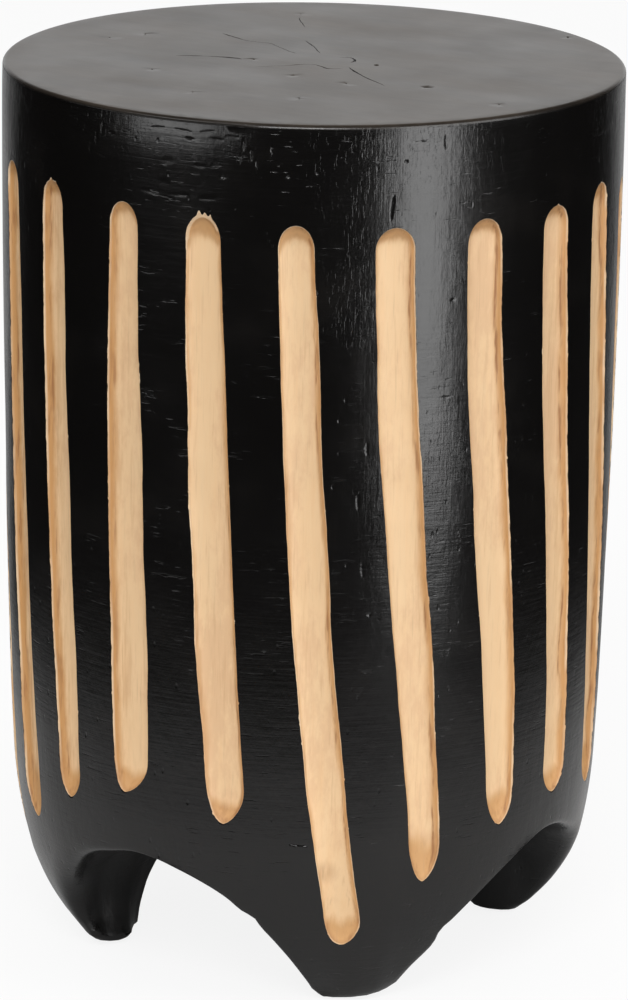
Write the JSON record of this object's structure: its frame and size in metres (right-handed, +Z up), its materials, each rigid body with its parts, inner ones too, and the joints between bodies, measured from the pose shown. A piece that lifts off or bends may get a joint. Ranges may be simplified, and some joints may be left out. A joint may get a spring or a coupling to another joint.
{
  "type": "carved side table",
  "caption": "Drum-shaped side table carved from one log, dark all over with pale gouged flutes down its side, standing on arched legs cut by two crossing tunnels.",
  "frame": {"origin": "centre of the table's footprint, on the floor", "axes": "+Z up along the drum's axis; one tunnel runs along X and the other along Y, so the legs stand on the diagonals"},
  "size_m": [0.3489, 0.349, 0.51],
  "materials": {
    "blackened_wood": "satin black stain over solid wood, bare pale wood in the flutes",
    "filler": "dark putty",
    "glide_cup": "moulded dark brown",
    "felt": "pressed felt",
    "nail": "plain wire nail"
  },
  "bodies": {
    "root": {"carved_body": "blackened_wood", "check_filler_front_left": "filler", "check_filler_left": "filler", "check_filler_back_left": "filler", "check_filler_inner_back": "filler", "check_filler_inner_front": "filler", "check_filler_right": "filler", "check_filler_heart": "filler", "glide_cup_front_right": "glide_cup", "glide_felt_front_right": "felt", "glide_nail_front_right": "nail", "glide_cup_back_right": "glide_cup", "glide_felt_back_right": "felt", "glide_nail_back_right": "nail", "glide_cup_back_left": "glide_cup", "glide_felt_back_left": "felt", "glide_nail_back_left": "nail", "glide_cup_front_left": "glide_cup", "glide_felt_front_left": "felt", "glide_nail_front_left": "nail"}
  },
  "joints": []
}
